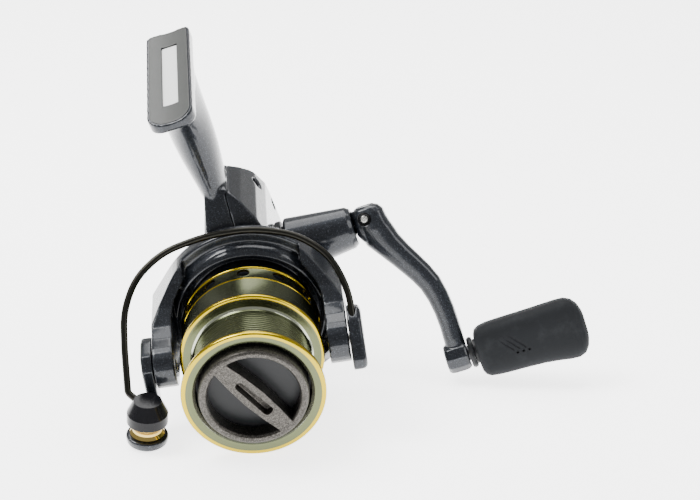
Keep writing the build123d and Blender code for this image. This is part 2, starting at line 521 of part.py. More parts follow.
spring = None
pth = Helix(1.6, 9.6, 1.15, center=(0, 0, 0), direction=(0, 0, 1))
spr_prof = Plane(origin=pth @ 0, z_dir=pth % 0) * Circle(0.3)
coil = sweep(spr_prof, pth, is_frenet=True)
coil = Plane(origin=(29.6, 34.6, 0), x_dir=(1, 0, 0), z_dir=(0, 1, 0)) * coil
put("bail_spring", coil, turn=True)

put("rotor_nut_plate", (cyl_y(7.0, 34.55, 35.35) - cyl_y(2.9, 34, 36) - block(4.4, 9, 34, 36, -6, 6)), turn=True)

# pinion, clutch sleeve and rotor nut turn with the rotor
pin_gear_pts = []
for k in range(N_PINION):
    a = k * 360.0 / N_PINION
    for r, off in ((PINION_ROOT, -0.55), (PINION_TIP, -0.33), (PINION_TIP, 0.33), (PINION_ROOT, 0.55)):
        t = math.radians(a) + off / r
        pin_gear_pts.append((r * math.cos(t), 56.9, r * math.sin(t)))
pinion = extrude(make_face(Polyline(pin_gear_pts, close=True)), 6.2, dir=(0, 1, 0))
pinion += cyl_y(3.9, 53.2, 56.95)
pinion += cyl_y(2.9, 34.4, 53.3)
pinion -= cyl_y(2.06, 30, 66)
put("pinion_gear", pinion)
sleeve = cyl_y(5.3, 46.0, 53.1) - cyl_y(2.92, 46, 56)
put("clutch_sleeve", sleeve)
rnut = extrude(Plane(origin=(0, 35.4, 0), z_dir=(0, 1, 0)) * RegularPolygon(6.3, 6), 3.55) - cyl_y(2.92, 30, 42)
put("rotor_nut", rnut)

# =====================================================================================
# Bail: arm with line roller on the left, lever on the right, wire between them
# =====================================================================================
tr = math.radians(ROLLER_TILT)
RD = Vector(math.sin(tr), 0, math.cos(tr))          # roller axis, towards the wire
RC = Vector(*ROLLER_C)


def roller_rev(profile):
    """Revolve (radius, height) points about the line roller's axis, heights from its centre."""
    face = make_face(Polyline([(r, 0, h) for r, h in profile], close=True))
    s = revolve(face, Axis.Z, 360)
    return Plane(origin=RC, x_dir=(math.cos(tr), 0, -math.sin(tr)), z_dir=RD) * s


bail_plate = plate_x([(BAIL_Y + 9.5, 4.6), (BAIL_Y + 8.5, 6.6), (BAIL_Y + 5.0, 7.2), (BAIL_Y - 3.0, 6.4),
                      (BAIL_Y - 6.4, 2.5), (18.0, -4.0), (17.9, -15.2), (10.0, -15.8), (6.5, -17.4), (8.0, -19.3),
                      (14.0, -19.6), (20.6, -19.2), (24.4, -14.0), (BAIL_Y + 3.5, -6.4),
                      (BAIL_Y + 7.6, -3.0), (BAIL_Y + 9.6, 1.0)], -36.6, -32.8)
bail_plate = try_fillet(bail_plate, bail_plate.faces().sort_by(Axis.X)[0].edges(), 1.0)
flange_r = roller_rev([(0, -2.2), (5.2, -2.2), (6.8, -2.4), (7.05, -3.1), (6.8, -4.9), (5.8, -5.9), (0, -6.1)])
seat_cut = roller_rev([(0, -2.2), (7.6, -2.2), (7.6, 12.0), (0, 12.0)])
bail_arm = (bail_plate - seat_cut) + flange_r
bail_arm += cyl_x(5.2, -32.8, -32.55, BAIL_Y, 0)
bail_arm -= roller_rev([(0, -7), (1.42, -7), (1.42, 0), (0, 0)])
bail_arm -= cyl_x(1.6, -37, -32, BAIL_Y, 0)
bail_arm -= cyl_x(3.0, -37, -35.4, BAIL_Y, 0)
put("bail_arm", bail_arm, turn=True)
bs = cyl_x(1.58, -36.5, -27.5, BAIL_Y, 0) + cyl_x(2.9, -36.5, -35.45, BAIL_Y, 0)
bs -= block(-36.8, -36.0, BAIL_Y - 2.0, BAIL_Y + 2.0, -0.4, 0.4)
put("bail_arm_screw", bs, turn=True)

cap = roller_rev([(0, 2.2), (5.4, 2.2), (6.8, 2.5), (6.8, 6.0), (4.6, 10.6), (0, 10.6)])
cap_axis_cut = roller_rev([(0, 2.0), (1.42, 2.0), (1.42, 6.4), (0, 6.4)])
cap -= cap_axis_cut
# bail wire: straight runs joined by tangent arcs
cl = math.radians(BAIL_LEAN)
BASE_Y, BASE_Z = 14.0, -1.5


def arch(x, h):
    return (x, BASE_Y + h * math.sin(cl), BASE_Z + h * math.cos(cl))


wire_pts = [(-37.0, 10.2, -5.0), (-41.7, 14.3, -1.7), arch(-41.2, 14.0), arch(-40.2, 27.0), arch(-35.0, 38.0),
            arch(-25.0, 45.5), arch(-10.0, 49.0), arch(6.0, 49.0), arch(20.0, 45.0), arch(30.0, 36.5),
            arch(34.6, 24.0), arch(34.8, 9.0)]
radii = []
for i in range(1, len(wire_pts) - 1):
    a, b, c = (Vector(*wire_pts[j]) for j in (i - 1, i, i + 1))
    run = min((b - a).length, (c - b).length)
    turn = math.radians((b - a).get_angle(c - b))
    radii.append(max(1.8, min(60.0, 0.45 * run / math.tan(turn / 2))))
print("wire radii", [round(r, 1) for r in radii])
radii[0] = 2.6
path = FilletPolyline(*wire_pts, radius=radii)
wire = sweep(Plane(origin=path @ 0, z_dir=path % 0) * Circle(WIRE_R), path)
print("wire volume", round(wire.volume, 1), "section x length", round(math.pi * WIRE_R ** 2 * path.length, 1))
cap = cap - wire
put("wire_cap", cap, turn=True)

lever_pts = [(BAIL_Y + 9.0, 5.6), (BAIL_Y + 6.5, 9.4), (BAIL_Y + 1.5, 11.0), (BAIL_Y - 2.6, 9.0), (BAIL_Y - 7.0, 4.0),
             (BAIL_Y - 11.0, -1.6), (BAIL_Y - 11.2, -5.0), (BAIL_Y - 8.0, -7.2), (BAIL_Y - 3.0, -6.6),
             (BAIL_Y + 4.0, -3.4), (BAIL_Y + 8.4, 1.4)]
lever = plate_x(lever_pts, 32.8, 37.6)
lever = try_fillet(lever, lever.edges().filter_by(Axis.X), 1.8)
lever = try_fillet(lever, lever.faces().sort_by(Axis.X)[-1].edges(), 1.8)
lever = lever - wire
lever -= cyl_x(1.6, 32, 39, BAIL_Y, 0)
lever -= cyl_x(3.0, 36.2, 39, BAIL_Y, 0)
put("bail_lever", lever, turn=True)
put("bail_wire", wire, turn=True)
ls = cyl_x(1.58, 27.5, 37.3, BAIL_Y, 0) + cyl_x(2.9, 36.25, 37.3, BAIL_Y, 0)
ls -= block(36.9, 37.6, BAIL_Y - 2.0, BAIL_Y + 2.0, -0.4, 0.4)
put("bail_lever_screw", ls, turn=True)
rscrew = roller_rev([(0, -6.0), (1.4, -6.0), (1.4, 6.3), (0, 6.3)])
put("roller_screw", rscrew, turn=True)
roller = roller_rev([(3.15, -2.1), (5.7, -2.1), (5.75, -1.7), (4.9, -0.7), (4.7, 0.0), (4.9, 0.7), (5.75, 1.7), (5.7, 2.1),
                     (3.15, 2.1)])
put("line_roller", roller, turn=True)
rbear = roller_rev([(1.45, -1.9), (3.1, -1.9), (3.1, 1.9), (1.45, 1.9)])
put("roller_bearing", rbear, turn=True)

for n, k, v in written:
    print(n, k, round(v, 2))
print(len(written), "nodes")
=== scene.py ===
import json
import math
import bpy
import bmesh
from mathutils import Vector, Matrix


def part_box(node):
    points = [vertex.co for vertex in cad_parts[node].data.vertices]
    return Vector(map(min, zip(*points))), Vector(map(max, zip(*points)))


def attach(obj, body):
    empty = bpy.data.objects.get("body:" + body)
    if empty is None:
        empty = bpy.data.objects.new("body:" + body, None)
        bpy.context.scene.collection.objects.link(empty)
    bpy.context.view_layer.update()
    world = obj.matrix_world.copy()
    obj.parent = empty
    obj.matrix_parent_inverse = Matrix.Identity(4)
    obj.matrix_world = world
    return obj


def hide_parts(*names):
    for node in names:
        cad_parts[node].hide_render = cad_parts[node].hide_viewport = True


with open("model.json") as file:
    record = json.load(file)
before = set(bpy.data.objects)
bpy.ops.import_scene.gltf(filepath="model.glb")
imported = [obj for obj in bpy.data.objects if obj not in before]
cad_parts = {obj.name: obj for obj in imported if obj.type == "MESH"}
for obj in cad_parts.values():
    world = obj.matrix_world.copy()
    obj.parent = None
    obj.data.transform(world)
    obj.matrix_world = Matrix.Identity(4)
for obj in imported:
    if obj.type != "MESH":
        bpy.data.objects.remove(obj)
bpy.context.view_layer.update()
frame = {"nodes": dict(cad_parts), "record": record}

# ---- where things are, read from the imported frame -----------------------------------
s_lo, s_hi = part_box("spool")
O = Vector(((s_lo.x + s_hi.x) / 2, s_lo.y, (s_lo.z + s_hi.z) / 2))     # spool axis at its front edge
MM = 0.001
NODES = frame["nodes"]
TURN = math.radians(10.0)                                             # the rotor's turn at rest


def at(x, y, z):
    """A point given in millimetres from the spool's front centre."""
    return O + Vector((x, y, z)) * MM


def at_rotor(x, y, z):
    return at(x * math.cos(TURN) + z * math.sin(TURN), y, -x * math.sin(TURN) + z * math.cos(TURN))


# ---- materials ----------------------------------------------------------------------
def new_mat(name):
    m = bpy.data.materials.new(name)
    m.use_nodes = True
    nt = m.node_tree
    nt.nodes.clear()
    out = nt.nodes.new("ShaderNodeOutputMaterial")
    b = nt.nodes.new("ShaderNodeBsdfPrincipled")
    nt.links.new(b.outputs[0], out.inputs[0])
    co = nt.nodes.new("ShaderNodeTexCoord")
    return m, nt, b, co.outputs["Object"]


def node(nt, kind, inputs=None, **props):
    n = nt.nodes.new(kind)
    for k, v in props.items():
        setattr(n, k, v)
    for k, v in (inputs or {}).items():
        if hasattr(v, "is_linked") or isinstance(v, bpy.types.NodeSocket):
            nt.links.new(v, n.inputs[k])
        else:
            n.inputs[k].default_value = v
    return n


def noise(nt, co, scale, detail=4.0, rough=0.55):
    return node(nt, "ShaderNodeTexNoise", {"Vector": co, "Scale": scale, "Detail": detail, "Roughness": rough}).outputs["Fac"]


def ramp(nt, fac, stops):
    r = node(nt, "ShaderNodeValToRGB", {"Fac": fac})
    e = r.color_ramp.elements
    e[0].position, e[0].color = stops[0][0], (*stops[0][1], 1)
    e[1].position, e[1].color = stops[-1][0], (*stops[-1][1], 1)
    for p, c in stops[1:-1]:
        k = e.new(p)
        k.color = (*c, 1)
    return r.outputs["Color"]


def mix_rgb(nt, fac, a, b):
    n = nt.nodes.new("ShaderNodeMix")
    n.data_type = "RGBA"
    for key, v in ((0, fac), (6, a), (7, b)):
        if isinstance(v, bpy.types.NodeSocket):
            nt.links.new(v, n.inputs[key])
        elif key == 0:
            n.inputs[key].default_value = v
        else:
            n.inputs[key].default_value = (*v, 1)
    return n.outputs[2]


def math_(nt, op, a, b=None, clamp=False):
    n = nt.nodes.new("ShaderNodeMath")
    n.operation = op
    n.use_clamp = clamp
    for i, v in enumerate((a, b)):
        if v is None:
            continue
        if isinstance(v, bpy.types.NodeSocket):
            nt.links.new(v, n.inputs[i])
        else:
            n.inputs[i].default_value = v
    return n.outputs[0]


def bump(nt, height, strength, distance):
    return node(nt, "ShaderNodeBump", {"Height": height, "Strength": strength, "Distance": distance}).outputs["Normal"]


def grain(nt, co, scale):
    """Cells of random value, for flakes and blasted grit."""
    v = node(nt, "ShaderNodeTexVoronoi", {"Vector": co, "Scale": scale})
    sep = node(nt, "ShaderNodeSeparateColor", {"Color": v.outputs["Color"]})
    return sep.outputs[0], sep.outputs[1], v.outputs["Distance"]


def paint(name, dark, light, flake_scale=6400.0, coat=1.0, rough=0.40, flake=1.0):
    m, nt, b, co = new_mat(name)
    f, g, d = grain(nt, co, flake_scale)
    f2, g2, d2 = grain(nt, co, flake_scale * 0.7)
    cloud = noise(nt, co, 60.0, 3.0)
    base = mix_rgb(nt, ramp(nt, f, [(0.0, (0, 0, 0)), (0.6, (0.10, 0.10, 0.10)), (0.9, (0.42, 0.42, 0.42)), (1.0, (0.9, 0.9, 0.9))]), dark, light)
    base = mix_rgb(nt, math_(nt, "MULTIPLY", cloud, 0.25), base, dark)
    base = mix_rgb(nt, ramp(nt, g2, [(0.0, (0, 0, 0)), (0.90, (0, 0, 0)), (1.0, (0.17 * flake,) * 3)]), base, (0.26, 0.29, 0.34))
    nt.links.new(base, b.inputs["Base Color"])
    b.inputs["Metallic"].default_value = 0.60
    r = math_(nt, "MULTIPLY_ADD", g, 0.20)
    r.node.inputs[2].default_value = rough - 0.10
    nt.links.new(r, b.inputs["Roughness"])
    nrm = bump(nt, math_(nt, "ADD", math_(nt, "MULTIPLY", f, 0.6), math_(nt, "MULTIPLY", noise(nt, co, 2500.0), 0.5)), 0.30, 0.00004)
    nt.links.new(nrm, b.inputs["Normal"])
    b.inputs["Specular IOR Level"].default_value = 0.25
    b.inputs["Coat Weight"].default_value = coat
    b.inputs["Coat IOR"].default_value = 1.36
    b.inputs["Coat Roughness"].default_value = 0.10
    coat_n = bump(nt, noise(nt, co, 900.0, 2.0), 0.10, 0.00006)
    nt.links.new(coat_n, b.inputs["Coat Normal"])
    return m


def plastic(name, col, rough, grit=0.25, grit_scale=2600.0, coat=0.0, spec=0.5, vary=0.35):
    m, nt, b, co = new_mat(name)
    n1 = noise(nt, co, grit_scale)
    n2 = noise(nt, co, 120.0, 5.0)
    lite = tuple(min(1.0, c * (1 + vary) + 0.004) for c in col)
    nt.links.new(mix_rgb(nt, math_(nt, "MULTIPLY", n2, 0.9), col, lite), b.inputs["Base Color"])
    r = math_(nt, "MULTIPLY_ADD", n1, 0.16)
    r.node.inputs[2].default_value = rough - 0.08
    nt.links.new(r, b.inputs["Roughness"])
    nt.links.new(bump(nt, n1, grit, 0.00005), b.inputs["Normal"])
    b.inputs["Specular IOR Level"].default_value = spec
    b.inputs["Coat Weight"].default_value = coat
    b.inputs["Coat Roughness"].default_value = 0.06
    return m


def turned_metal(name, col, rough, line=7000.0, strength=0.25, vary=0.18, axis="Y", aniso=0.0):
    """Metal turned on a lathe: fine lines round an axis of the frame."""
    m, nt, b, co = new_mat(name)
    sep = node(nt, "ShaderNodeSeparateXYZ", {"Vector": co})
    along = sep.outputs[axis]
    w = node(nt, "ShaderNodeTexNoise", {"W": math_(nt, "MULTIPLY", along, line), "Scale": 1.0, "Detail": 3.0}, noise_dimensions="1D").outputs["Fac"]
    n2 = noise(nt, co, 90.0, 4.0)
    lo = tuple(c * (1 - vary) for c in col)
    nt.links.new(mix_rgb(nt, math_(nt, "ADD", math_(nt, "MULTIPLY", w, 0.6), math_(nt, "MULTIPLY", n2, 0.4)), lo, col), b.inputs["Base Color"])
    b.inputs["Metallic"].default_value = 1.0
    r = math_(nt, "MULTIPLY_ADD", w, 0.14)
    r.node.inputs[2].default_value = rough - 0.07
    nt.links.new(r, b.inputs["Roughness"])
    nt.links.new(bump(nt, w, strength, 0.00003), b.inputs["Normal"])
    b.inputs["Anisotropic"].default_value = aniso
    return m


def rough_metal(name, dark, light, scale=2300.0, rough=0.45):
    m, nt, b, co = new_mat(name)
    f, g, d = grain(nt, co, scale)
    n1 = noise(nt, co, scale * 0.8, 5.0, 0.7)
    nt.links.new(mix_rgb(nt, ramp(nt, f, [(0.0, (0, 0, 0)), (0.5, (0.25, 0.25, 0.25)), (1.0, (1, 1, 1))]), dark, light), b.inputs["Base Color"])
    b.inputs["Metallic"].default_value = 0.85
    r = math_(nt, "MULTIPLY_ADD", g, 0.2)
    r.node.inputs[2].default_value = rough - 0.1
    nt.links.new(r, b.inputs["Roughness"])
    nt.links.new(bump(nt, math_(nt, "ADD", n1, math_(nt, "MULTIPLY", d, 0.6)), 0.45, 0.00008), b.inputs["Normal"])
    return m


def rubber(name, col):
    m, nt, b, co = new_mat(name)
    n1 = noise(nt, co, 3200.0, 3.0)
    n2 = noise(nt, co, 160.0, 6.0, 0.65)
    wear = ramp(nt, n2, [(0.0, (0, 0, 0)), (0.52, (0.0, 0.0, 0.0)), (0.8, (0.6, 0.6, 0.6)), (1.0, (1, 1, 1))])
    nt.links.new(mix_rgb(nt, wear, col, tuple(c * 1.7 + 0.006 for c in col)), b.inputs["Base Color"])
    r = math_(nt, "MULTIPLY_ADD", n1, 0.18)
    r.node.inputs[2].default_value = 0.60
    nt.links.new(r, b.inputs["Roughness"])
    nt.links.new(bump(nt, n1, 0.28, 0.00005), b.inputs["Normal"])
    b.inputs["Sheen Weight"].default_value = 0.02
    b.inputs["Specular IOR Level"].default_value = 0.14
    return m


def cloth(name, col):
    m, nt, b, co = new_mat(name)
    w1 = node(nt, "ShaderNodeTexWave", {"Vector": co, "Scale": 700.0, "Distortion": 2.0, "Detail": 2.0}, bands_direction="X").outputs["Fac"]
    w2 = node(nt, "ShaderNodeTexWave", {"Vector": co, "Scale": 700.0, "Distortion": 2.0, "Detail": 2.0}, bands_direction="Z").outputs["Fac"]
    w = math_(nt, "MULTIPLY", w1, w2)
    nt.links.new(mix_rgb(nt, w, col, tuple(c * 2.2 for c in col)), b.inputs["Base Color"])
    b.inputs["Roughness"].default_value = 0.85
    nt.links.new(bump(nt, w, 0.6, 0.0001), b.inputs["Normal"])
    return m


M = {
    "paint": paint("body_paint", (0.0042, 0.0054, 0.0080), (0.030, 0.036, 0.047)),
    "paint_gloss": paint("rotor_cup_gloss", (0.004, 0.005, 0.007), (0.020, 0.023, 0.028), rough=0.30, flake=0.25),
    "olive": turned_metal("spool_olive", (0.110, 0.122, 0.066), 0.24, 9000.0, 0.20, 0.22, aniso=0.45),
    # painted shade: a darker copy of the olive finish, laid on the groove flanks and floors and on the skirt's rear
    # edge
    "olive_dark": turned_metal("spool_olive_painted_shade", (0.040, 0.043, 0.030), 0.28, 9000.0, 0.3, 0.3),
    "gold": turned_metal("spool_gold_cut", (0.44, 0.32, 0.016), 0.20, 14000.0, 0.18, 0.12, aniso=0.3),
    # painted highlight: a bright, pale copy of the olive finish, laid on the arbor fillets and the front bore edge
    "chamfer": turned_metal("spool_painted_highlight", (0.40, 0.42, 0.33), 0.18, 12000.0, 0.12, 0.10),
    "bore_black": plastic("spool_bore_black", (0.006, 0.006, 0.007), 0.42),
    "drag": rough_metal("drag_ring_blasted", (0.028, 0.026, 0.023), (0.110, 0.102, 0.092), 4200.0, 0.40),
    "satin": plastic("black_satin", (0.006, 0.0065, 0.0075), 0.34, 0.30, 3000.0, spec=0.22),
    "gloss": plastic("black_gloss", (0.003, 0.003, 0.004), 0.16, 0.05, 1500.0, spec=0.17),
    "label": plastic("label_white", (0.90, 0.90, 0.89), 0.32, 0.12, 900.0, coat=0.5, vary=0.05),
    "wire": turned_metal("wire_black", (0.030, 0.029, 0.025), 0.30, 5000.0, 0.10, 0.3),
    "roller": turned_metal("roller_gold", (0.55, 0.40, 0.13), 0.12, 9000.0, 0.12, 0.15, axis="Z"),
    "steel": turned_metal("screw_steel", (0.60, 0.59, 0.56), 0.26, 9000.0, 0.35, 0.35, axis="X"),
    "dark_steel": turned_metal("dark_steel", (0.07, 0.07, 0.075), 0.3, 9000.0, 0.3, 0.3, axis="X"),
    "gear": rough_metal("gear_cast", (0.32, 0.32, 0.33), (0.60, 0.60, 0.61), 1500.0, 0.40),
    "brass": turned_metal("pinion_brass", (0.72, 0.54, 0.24), 0.24, 8000.0, 0.3, 0.2),
    "felt": cloth("drag_felt", (0.020, 0.020, 0.021)),
    "nylon": plastic("moulded_nylon", (0.62, 0.60, 0.55), 0.45, 0.25, 900.0, vary=0.10),
    "rubber": rubber("knob_rubber", (0.0085, 0.0095, 0.0110)),
    "footpad": plastic("foot_satin_grey", (0.050, 0.052, 0.049), 0.46, 0.5, 2600.0, vary=0.25, spec=0.5),
}
SLOT_MAT = {"body_paint": "paint", "arm_paint": "paint", "spool_metal": "olive", "drag_metal": "drag", "black_satin": "satin", "black_gloss": "gloss",
            "label_white": "label", "wire_black": "wire", "roller_gold": "roller", "steel": "steel", "gear_metal": "gear",
            "brass": "brass", "felt": "felt", "nylon": "nylon", "knob_rubber": "rubber"}
NODE_SLOT = {s["node"]: s["material_slot"] for s in frame["record"]["subparts"]}


def set_mat(ob, key):
    ob.data.materials.clear()
    ob.data.materials.append(M[key])


for n, ob in NODES.items():
    set_mat(ob, SLOT_MAT[NODE_SLOT[n]])


for n, key in (("knob_shaft", "dark_steel"), ("knob_washer", "satin"), ("rotor_nut_plate", "satin")):
    set_mat(NODES[n], key)


# ---- surface finish of the CAD nodes -------------------------------------------------
def smooth_by_angle(ob, degrees=32.0):
    me = ob.data
    for p in me.polygons:
        p.use_smooth = True
    bm = bmesh.new()
    bm.from_mesh(me)
    lim = math.radians(degrees)
    for e in bm.edges:
        e.smooth = not (len(e.link_faces) == 2 and e.calc_face_angle(0.0) > lim)
    bm.to_mesh(me)
    bm.free()


def bevel(ob, width_mm, segments=2, degrees=32.0):
    w = ob.modifiers.new("weld", "WELD")
    w.merge_threshold = 1e-6
    b = ob.modifiers.new("edge", "BEVEL")
    b.width = width_mm * MM
    b.segments = segments
    b.limit_method = "ANGLE"
    b.angle_limit = math.radians(degrees)
    b.harden_normals = True
    b.use_clamp_overlap = True


def cast(ob, voxel_mm, rounds, factor=0.5):
    """A cast or moulded skin: evenly remeshed, with its edges softened."""
    r = ob.modifiers.new("skin", "REMESH")
    r.mode = "VOXEL"
    r.voxel_size = voxel_mm * MM
    r.use_smooth_shade = True
    s = ob.modifiers.new("soften", "SMOOTH")
    s.factor = factor
    s.iterations = rounds


ORGANIC = {"body_housing": (0.40, 16), "side_cover": (0.40, 10), "rotor": (0.36, 7), "bail_arm": (0.26, 9),
           "bail_lever": (0.24, 34), "drag_knob_ring": (0.20, 4), "anti_reverse_lever": (0.24, 8), "arm_cover": (0.22, 3), "handle_shank": (0.30, 4)}
for n, ob in NODES.items():
    if n in ("handle_arm", "handle_knob", "spool", "handle_pivot_screw"):
        continue
    if n in ORGANIC:
        v, k = ORGANIC[n]
        cast(ob, v, k)
    else:
        smooth_by_angle(ob)


# ---- mesh tools ----------------------------------------------------------------------
def mesh_object(name, verts, faces, mats, face_mat=None, smooth=True):
    me = bpy.data.meshes.new(name)
    me.from_pydata([tuple(v) for v in verts], [], faces)
    ob = bpy.data.objects.new(name, me)
    bpy.context.scene.collection.objects.link(ob)
    for k in mats:
        me.materials.append(M[k])
    if face_mat:
        me.polygons.foreach_set("material_index", face_mat)
    if smooth:
        for p in me.polygons:
            p.use_smooth = True
    me.validate()
    return ob


def lathe(name, profile, mats, place, seg=256, sharp=None):
    """Turn a closed list of (radius, height, material) round an axis; place(r, a, h) gives the point."""
    n = len(profile)
    keys = []
    for _, _, k in profile:
        if k not in keys:
            keys.append(k)
    verts, faces, fm = [], [], []
    for i in range(seg):
        a = 2 * math.pi * i / seg
        for r, h, _ in profile:
            verts.append(place(r, a, h))
    for i in range(seg):
        j = (i + 1) % seg
        for k in range(n):
            l = (k + 1) % n
            faces.append((i * n + k, i * n + l, j * n + l, j * n + k))
            fm.append(keys.index(profile[k][2]))
    ob = mesh_object(name, verts, faces, keys, fm)
    bm = bmesh.new()
    bm.from_mesh(ob.data)
    bmesh.ops.recalc_face_normals(bm, faces=bm.faces)
    lim = math.radians(22)
    for e in bm.edges:
        e.smooth = not (len(e.link_faces) == 2 and e.calc_face_angle(0.0) > lim)
    bm.to_mesh(ob.data)
    bm.free()
    return ob


def spool_place(r, a, h):
    return at(r * math.sin(a), h, r * math.cos(a))


def rounded(profile, reach=0.18):
    """Cut each real corner of a profile with a short bevel, keeping the material of each run."""
    out = []
    n = len(profile)
    for i in range(n):
        r0, h0, _ = profile[i - 1]
        r1, h1, k1 = profile[i]
        r2, h2, _ = profile[(i + 1) % n]
        a = Vector((r1 - r0, h1 - h0))
        b = Vector((r2 - r1, h2 - h1))
        if a.length < 1e-6 or b.length < 1e-6:
            continue
        ang = a.angle(b)
        d = min(reach, a.length * 0.35, b.length * 0.35)
        if ang < math.radians(12) or r1 < 1e-6:
            out.append((r1, h1, k1))
            continue
        p = Vector((r1, h1)) - a.normalized() * d
        q = Vector((r1, h1)) + b.normalized() * d
        mid = (p + q) / 2 * 0.5 + Vector((r1, h1)) * 0.5
        out += [(p.x, p.y, k1), (mid.x, mid.y, k1), (q.x, q.y, k1)]
    return out


# spool: diamond-cut gold rims, olive faces, fine grooves on the arbor, twelve holes in the skirt
# painted highlight: the bright band at the front bore edge and on the front arbor fillet
prof = [(18.75, 1.2, "chamfer"), (19.75, 0.42, "olive"), (22.0, 0.05, "gold"), (22.9, 0.0, "gold"), (23.35, 0.25, "gold"),
        (23.5, 0.75, "gold"), (23.5, 1.55, "gold"), (23.2, 2.1, "gold"), (22.4, 2.45, "olive"), (21.3, 2.75, "olive"),
        (20.5, 3.3, "olive"), (19.9, 4.0, "chamfer"), (19.5, 4.7, "olive")]
y = 5.1
while y < 19.4:
    # painted shade: the dark olive on one flank and the floor of each arbor groove
    prof += [(19.4, y, "olive_dark"), (19.12, y + 0.22, "olive_dark"), (19.12, y + 0.42, "olive"), (19.4, y + 0.64, "olive")]
    y += 1.12
# painted highlight: the bright band on the rear arbor fillet
prof += [(19.4, 19.9, "olive"), (19.7, 20.6, "chamfer"), (20.4, 21.1, "olive"), (22.2, 21.35, "olive"), (22.9, 21.4, "gold"), (23.6, 21.6, "gold"),
         (23.95, 22.0, "gold"), (24.0, 22.6, "gold"), (23.9, 23.2, "gold"), (23.45, 23.7, "olive"), (23.15, 24.1, "olive"),
         (23.15, 34.2, "gold"), (23.32, 34.35, "gold"), (23.32, 34.7, "gold"), (23.15, 34.85, "olive"), (23.15, 40.5, "gold"),
         # painted shade: the dark olive on the skirt's rear edge
         (23.45, 40.75, "gold"), (23.55, 41.1, "gold"), (23.4, 41.45, "olive_dark"), (22.35, 41.45, "bore_black"),
         (22.35, 25.1, "bore_black"), (17.65, 24.1, "bore_black"), (17.65, 17.35, "bore_black"), (2.1, 17.35, "bore_black"),
         (2.1, 13.5, "bore_black"), (13.6, 13.5, "bore_black"), (13.6, 7.3, "bore_black"), (18.75, 7.3, "bore_black")]
spool = lathe("spool_turned", rounded(prof, 0.10), None, spool_place, 288)
cut_verts, cut_faces = [], []
for k in range(12):
    a = math.radians(12 + 30 * k)
    d = Vector((math.sin(a), 0, math.cos(a)))
    u = Vector((0, 1, 0))
    v = d.cross(u)
    base = len(cut_verts)
    for depth in (21.0, 24.5):
        for i in range(40):
            t = 2 * math.pi * i / 40
            rr = 2.15 if depth < 23 else 2.15
            p = Vector((0, 38.0, 0)) + d * depth + (u * math.cos(t) + v * math.sin(t)) * rr
            cut_verts.append(at(*p))
    for i in range(40):
        j = (i + 1) % 40
        cut_faces.append((base + i, base + j, base + 40 + j, base + 40 + i))
    cut_faces.append(tuple(base + i for i in reversed(range(40))))
    cut_faces.append(tuple(base + 40 + i for i in range(40)))
cutter = mesh_object("cutter", cut_verts, cut_faces, ["gold"], smooth=False)
bm = bmesh.new(); bm.from_mesh(cutter.data); bmesh.ops.recalc_face_normals(bm, faces=bm.faces); bm.to_mesh(cutter.data); bm.free()
bo = spool.modifiers.new("holes", "BOOLEAN")
bo.object = cutter
bo.operation = "DIFFERENCE"
bo.solver = "EXACT"
bpy.context.view_layer.update()
dg = bpy.context.evaluated_depsgraph_get()
cut_mesh = bpy.data.meshes.new_from_object(spool.evaluated_get(dg))
spool.modifiers.clear()
spool.data = cut_mesh
bpy.data.objects.remove(cutter)
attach(spool, "spool_body")
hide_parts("spool")

# handle arm: one smooth casting, lofted along its curve, with the fork at its head and the boss at its end
BACK = math.radians(22.0)
CRANK = at(0, 75.0, 6.3)
A_S = Vector((0, -math.sin(BACK), -math.cos(BACK)))
A_N = Vector((1, 0, 0)).cross(A_S)
PX, PS = 45.3, -1.9


def arm_at(x, s, n=0.0):
    return CRANK + (Vector((x, 0, 0)) + A_S * s + A_N * n) * MM


def loft(stations, seg=40, power=2.6):
    """A closed skin through rounded sections: (x, s, half width, half depth, width direction in the arm's plane)."""
    verts, faces = [], []
    for x, s, a, b, ang in stations:
        wx, ws = math.cos(math.radians(ang)), math.sin(math.radians(ang))
        for i in range(seg):
            t = 2 * math.pi * i / seg
            c, d = math.cos(t), math.sin(t)
            p = math.copysign(abs(c) ** (2 / power), c) * a
            q = math.copysign(abs(d) ** (2 / power), d) * b
            verts.append(arm_at(x + wx * p, s + ws * p, q))
    k = len(stations)
    for j in range(k - 1):
        for i in range(seg):
            i2 = (i + 1) % seg
            faces.append((j * seg + i, j * seg + i2, (j + 1) * seg + i2, (j + 1) * seg + i))
    faces.append(tuple(reversed(range(seg))))
    faces.append(tuple((k - 1) * seg + i for i in range(seg)))
    return verts, faces


def joined(name, parts, mats):
    verts, faces = [], []
    for v, f in parts:
        b = len(verts)
        verts += v
        faces += [tuple(b + i for i in q) for q in f]
    ob = mesh_object(name, verts, faces, mats)
    bm = bmesh.new(); bm.from_mesh(ob.data); bmesh.ops.recalc_face_normals(bm, faces=bm.faces); bm.to_mesh(ob.data); bm.free()
    return ob


def tube_along(p, d, r, length, seg=48, bulge=0.0):
    d = d.normalized(); u = d.orthogonal().normalized(); v = d.cross(u)
    rings = [(0.0, r - 0.55 * bulge), (0.12, r - 0.1 * bulge), (0.3, r), (0.7, r), (0.88, r - 0.1 * bulge), (1.0, r - 0.55 * bulge)] if bulge else [(0.0, r), (1.0, r)]
    verts, faces = [], []
    for t, rr in rings:
        for i in range(seg):
            a = 2 * math.pi * i / seg
            verts.append(p + d * (length * t * MM) + (u * math.cos(a) + v * math.sin(a)) * (rr * MM))
    for j in range(len(rings) - 1):
        for i in range(seg):
            i2 = (i + 1) % seg
            faces.append((j * seg + i, j * seg + i2, (j + 1) * seg + i2, (j + 1) * seg + i))
    faces.append(tuple(reversed(range(seg))))
    faces.append(tuple((len(rings) - 1) * seg + i for i in range(seg)))
    return verts, faces


